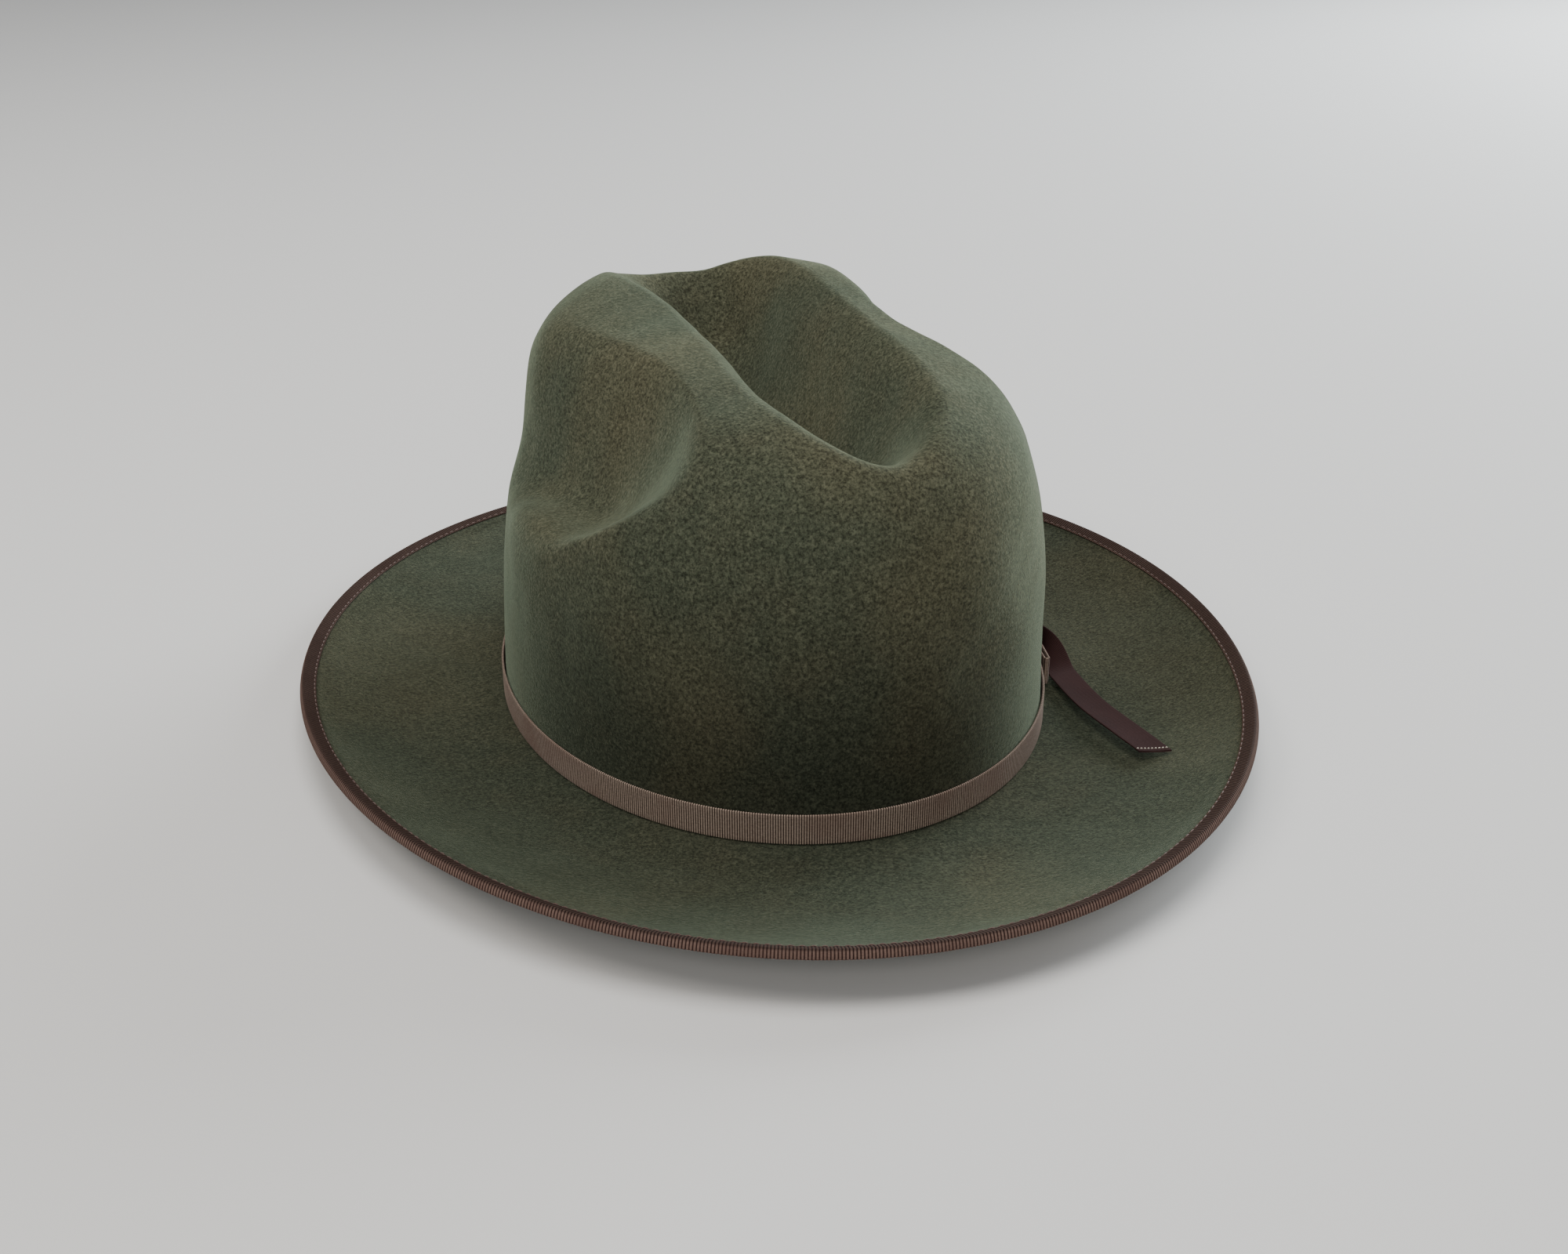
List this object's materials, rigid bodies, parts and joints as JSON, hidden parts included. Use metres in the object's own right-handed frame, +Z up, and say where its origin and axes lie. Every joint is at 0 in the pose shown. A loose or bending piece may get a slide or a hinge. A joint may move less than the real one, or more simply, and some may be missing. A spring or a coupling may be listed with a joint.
{
  "type": "felt hat",
  "caption": "Creased felt hat with a curled bound brim, a thin ribbon with a flat side bow and a loose ribbon tail, a leather sweatband and a lining.",
  "frame": {"origin": "middle of the brim's outline, on the plane that the hat stands on", "axes": "+Z up, +Y to the hat's front, +X to the wearer's right, where the bow and the tail are"},
  "size_m": [0.3048, 0.3467, 0.1256],
  "materials": {
    "felt": "short-napped fur felt, dark olive green with warm brown mottling",
    "binding": "grosgrain ribbon, dark reddish brown",
    "ribbon": "grosgrain ribbon, taupe with pale ribs",
    "tail": "grosgrain ribbon, dark plum brown with thin pale edges",
    "thread": "matte pale thread",
    "dark_thread": "matte brown thread",
    "leather": "smooth vegetable-tanned leather, semi-matte",
    "reed": "matte extruded plastic",
    "tape": "woven cotton tape",
    "lining": "satin, pale olive",
    "piping": "satin-covered cord",
    "label": "plain woven label, blank"
  },
  "bodies": {
    "hat": {"felt_body": "felt", "brim_binding": "binding", "brim_binding_stitching": "dark_thread", "crown_ribbon": "ribbon", "bow_rear_loop": "ribbon", "bow_front_loop": "ribbon", "bow_keeper": "ribbon", "sweatband": "leather", "sweatband_tape": "tape", "sweatband_reed": "reed", "sweatband_stitching": "thread", "sweatband_back_seam": "thread", "sweatband_back_bow": "tape", "lining_side": "lining", "lining_tip": "lining", "lining_piping": "piping", "size_label": "label"},
    "tail": {"ribbon_tail": "tail", "ribbon_tail_stitches": "thread"}
  },
  "joints": [
    {"name": "ribbon_tail_lift", "type": "hinge", "parent": "hat", "child": "tail", "pos_m": [0.0937, -0.0052, 0.0125], "axis": [-1, 0, 0], "range_deg": [0, 75]}
  ]
}
